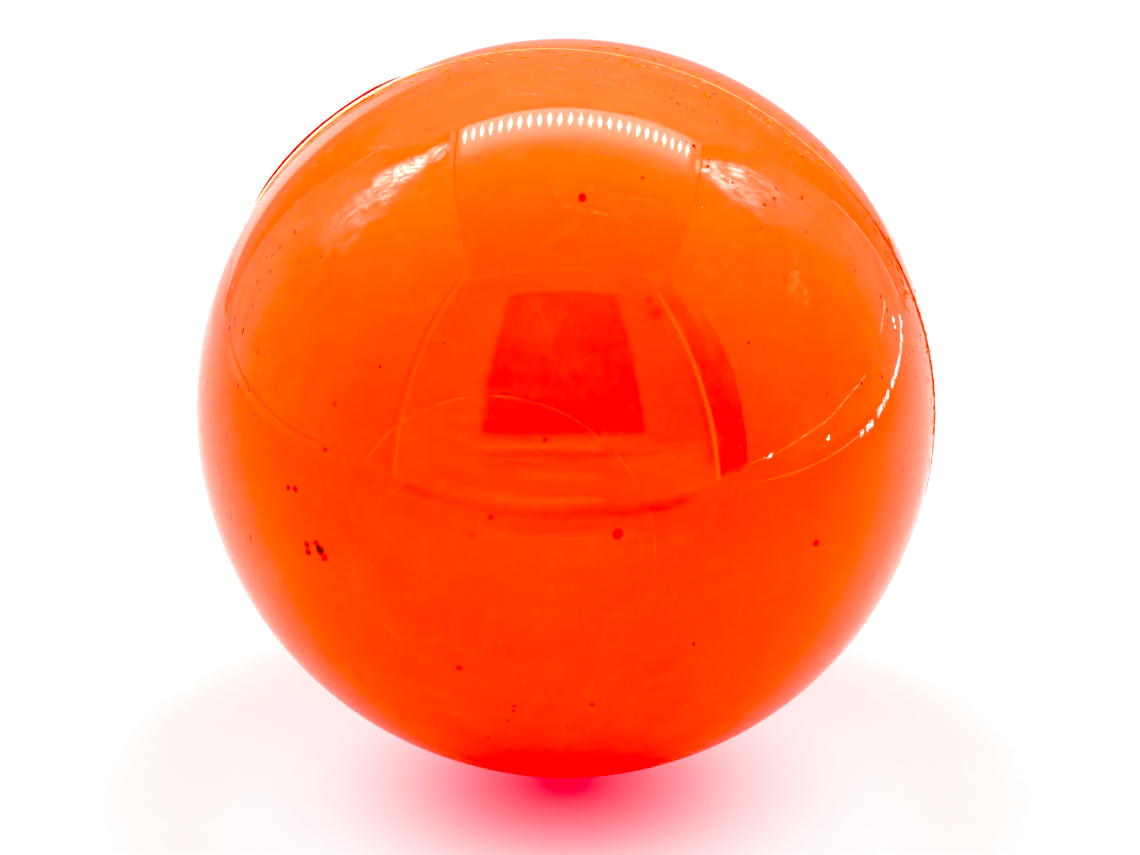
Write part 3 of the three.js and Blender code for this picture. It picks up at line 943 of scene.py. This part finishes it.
def wall_glow(name, side, peak, tail, near, far, inner, strength, seed):
    """The lamps' light on the crumpled lining beside one end of the strip.

    It fades from the peak to the tail, and from near to far beside that line. Inner is how close to the
    tent's middle the film comes. Near, far and inner are in ball radii.
    """
    g = Graph(name)
    run = tail - peak
    offset = g.vector("SUBTRACT", g.place, tuple(peak)).outputs[0]
    along = g.vector("DOT_PRODUCT", offset, tuple(run / run.length_squared)).outputs["Value"]
    held = g.add("ShaderNodeClamp", {"Value": along}).outputs[0]
    foot = g.add("ShaderNodeVectorMath", {0: tuple(run), 3: held}, operation="SCALE").outputs[0]
    away = g.vector("DISTANCE", offset, foot).outputs["Value"]
    away = g.math("DIVIDE", away, g.ramp(along, -0.1, 0.6, 0.6, 1.0))
    patches = g.ramp(g.noise(0.8 * RADIUS, 4, 0.6, 1.0, four=seed), 0.40, 0.60, 0.35, 1.0)
    creases = g.noise(0.26 * RADIUS, 6, 0.75, 0.8, g.stretched(1.0, 1.0, 0.4), four=seed + 3)
    creases = g.ramp(creases, 0.43, 0.57, 0.12, 1.0)
    beside = g.ramp(away, near * RADIUS, far * RADIUS, 1, 0)
    fade = g.math("MULTIPLY", beside, g.ramp(along, 0.0, 1.1, 1.0, 0.03))
    level = g.math("MULTIPLY", g.math("MULTIPLY", fade, patches), g.math("MULTIPLY", creases, strength))

    wall, back, top = [size * GLOW_SHARE for size in (side * TENT_SIDE, TENT_BACK, TENT_CEILING)]
    inner, low, front = side * inner * RADIUS, 2.6 * RADIUS, 0.4 * RADIUS
    verts = [
        in_tent(wall, front, low), in_tent(wall, back, low), in_tent(wall, back, top),
        in_tent(wall, front, top), in_tent(inner, back, top), in_tent(inner, back, low),
        in_tent(inner, front, top),
    ]
    obj = make_object(name, verts, [(0, 1, 2, 3), (1, 5, 4, 2), (3, 2, 4, 6)], g.film(WHITE, level))
    obj.visible_diffuse = False
    only_reflected(obj)


# Where the ball's shade and its coloured light, both painted on the paper, are centred
SHADE_CENTRE = in_tent(0, -0.3 * RADIUS, -RADIUS)


def grey(level):
    return (level, level, level, 1)


def square(reach, z):
    return [(x * reach, y * reach, z) for x, y in ((-1, -1), (1, -1), (1, 1), (-1, 1))]


def floor():
    """White paper, painted darker round the ball's foot for its shade."""
    g = Graph("floor_paper")
    tone = g.ramp(g.noise(20 * MM, 4), 0.3, 0.7)
    # Painted shadow: the paper's colour darkens towards the ball's foot
    shade = g.ramp(g.away_from(SHADE_CENTRE), 0.1 * RADIUS, 1.35 * RADIUS)
    colour = g.mix(g.math("MULTIPLY", tone, 0.06), g.mix(shade, grey(0.24), grey(0.64)), grey(0.3))
    grain = g.bump(g.noise(1.5 * MM, 4), 0.05 * MM)
    material = g.surface({"Base Color": colour, "Roughness": 0.6, "Normal": grain})
    make_object("floor", square(60 * RADIUS, -RADIUS), [(0, 1, 2, 3)], material)


def floor_film(name, near, far, camera):
    """A glowing film on the paper, painted light for what the cloudy resin lets through: red by the ball,
    and paler further out.
    """
    g = Graph(name)
    away = g.away_from(SHADE_CENTRE)
    colour = g.mix(g.ramp(away, 0, 0.95 * RADIUS), near, far)
    rise = g.ramp(away, 0, 0.16 * RADIUS, 0.70, 0.95)
    strength = g.math("MULTIPLY", rise, g.ramp(away, 0.35 * RADIUS, 1.3 * RADIUS, 1, 0))
    corners = [in_tent(*p) for p in square(1.5 * RADIUS, 0.002 * RADIUS - RADIUS)]
    obj = make_object(name, corners, [(0, 1, 2, 3)], g.film(colour, strength))
    obj.visible_camera = camera
    obj.visible_glossy = not camera
    obj.visible_diffuse = not camera
    obj.visible_shadow = False


def floor_glow():
    """The camera sees one painted glow on the paper, and the ball's underside another that is redder."""
    floor_film("floor_glow", (1.0, 0.08, 0.15, 1), (1.0, 0.84, 0.86, 1), camera=True)
    floor_film("floor_bounce", (1.0, 0.01, 0.015, 1), (1.0, 0.30, 0.32, 1), camera=False)


def soft_light(name, place, size, power):
    """Soft light that adds no highlight of its own."""
    light = bpy.data.lights.new(name, "AREA")
    light.size = size
    light.energy = power
    obj = bpy.data.objects.new(name, light)
    bpy.context.scene.collection.objects.link(obj)
    obj.location = place
    obj.rotation_euler = (-obj.location).to_track_quat("-Z", "Y").to_euler()
    obj.visible_glossy = False
    obj.visible_camera = False


tent()
tent_edges()
soft_light("top_light", in_tent(0, 1.5 * RADIUS, 8 * RADIUS), size=6 * RADIUS, power=0.14)
soft_light("front_fill", in_tent(0, -4.4 * RADIUS, -0.8 * RADIUS), size=3 * RADIUS, power=0.060)
zips()
led_strip()
wall_glow(
    "glow_left", -1, in_tent(-4.75 * RADIUS, 3.8 * RADIUS, 8.7 * RADIUS),
    in_tent(-5.2 * RADIUS, 1.1 * RADIUS, 3.5 * RADIUS), near=0.4, far=1.2, inner=4.1, strength=24, seed=2.0,
)
wall_glow(
    "glow_right", 1, in_tent(5.2 * RADIUS, 2.9 * RADIUS, 8.3 * RADIUS),
    in_tent(5.2 * RADIUS, 2.1 * RADIUS, 4.2 * RADIUS), near=0.6, far=1.4, inner=4.9, strength=20, seed=5.0,
)
floor()
floor_glow()

scene = bpy.context.scene
world = bpy.data.worlds.new("studio")
world.use_nodes = True
backdrop = world.node_tree.nodes["Background"]
backdrop.inputs["Color"].default_value = WHITE
backdrop.inputs["Strength"].default_value = STUDIO_GLOW
scene.world = world

camera = bpy.data.objects.new("camera", bpy.data.cameras.new("camera"))
scene.collection.objects.link(camera)
scene.camera = camera
camera.data.lens = LENS
camera.data.clip_start = 0.01
camera.data.clip_end = 20
back = UP * math.sin(CAMERA_ELEVATION) - AWAY * math.cos(CAMERA_ELEVATION)
camera_up = UP * math.cos(CAMERA_ELEVATION) + AWAY * math.sin(CAMERA_ELEVATION)
camera.location = back * CAMERA_DISTANCE
aim = RIGHT * AIM_RIGHT - camera_up * AIM_DOWN
camera.rotation_euler = (aim - camera.location).to_track_quat("-Z", "Y").to_euler()

# A hard exposure and grade: the paper burns out to white, and the darks are deep
scene.view_settings.view_transform = "Standard"
scene.view_settings.use_curve_mapping = True
scene.view_settings.curve_mapping.black_level = (BLACK_LEVEL, BLACK_LEVEL, BLACK_LEVEL)
scene.view_settings.curve_mapping.update()

bpy.context.view_layer.update()
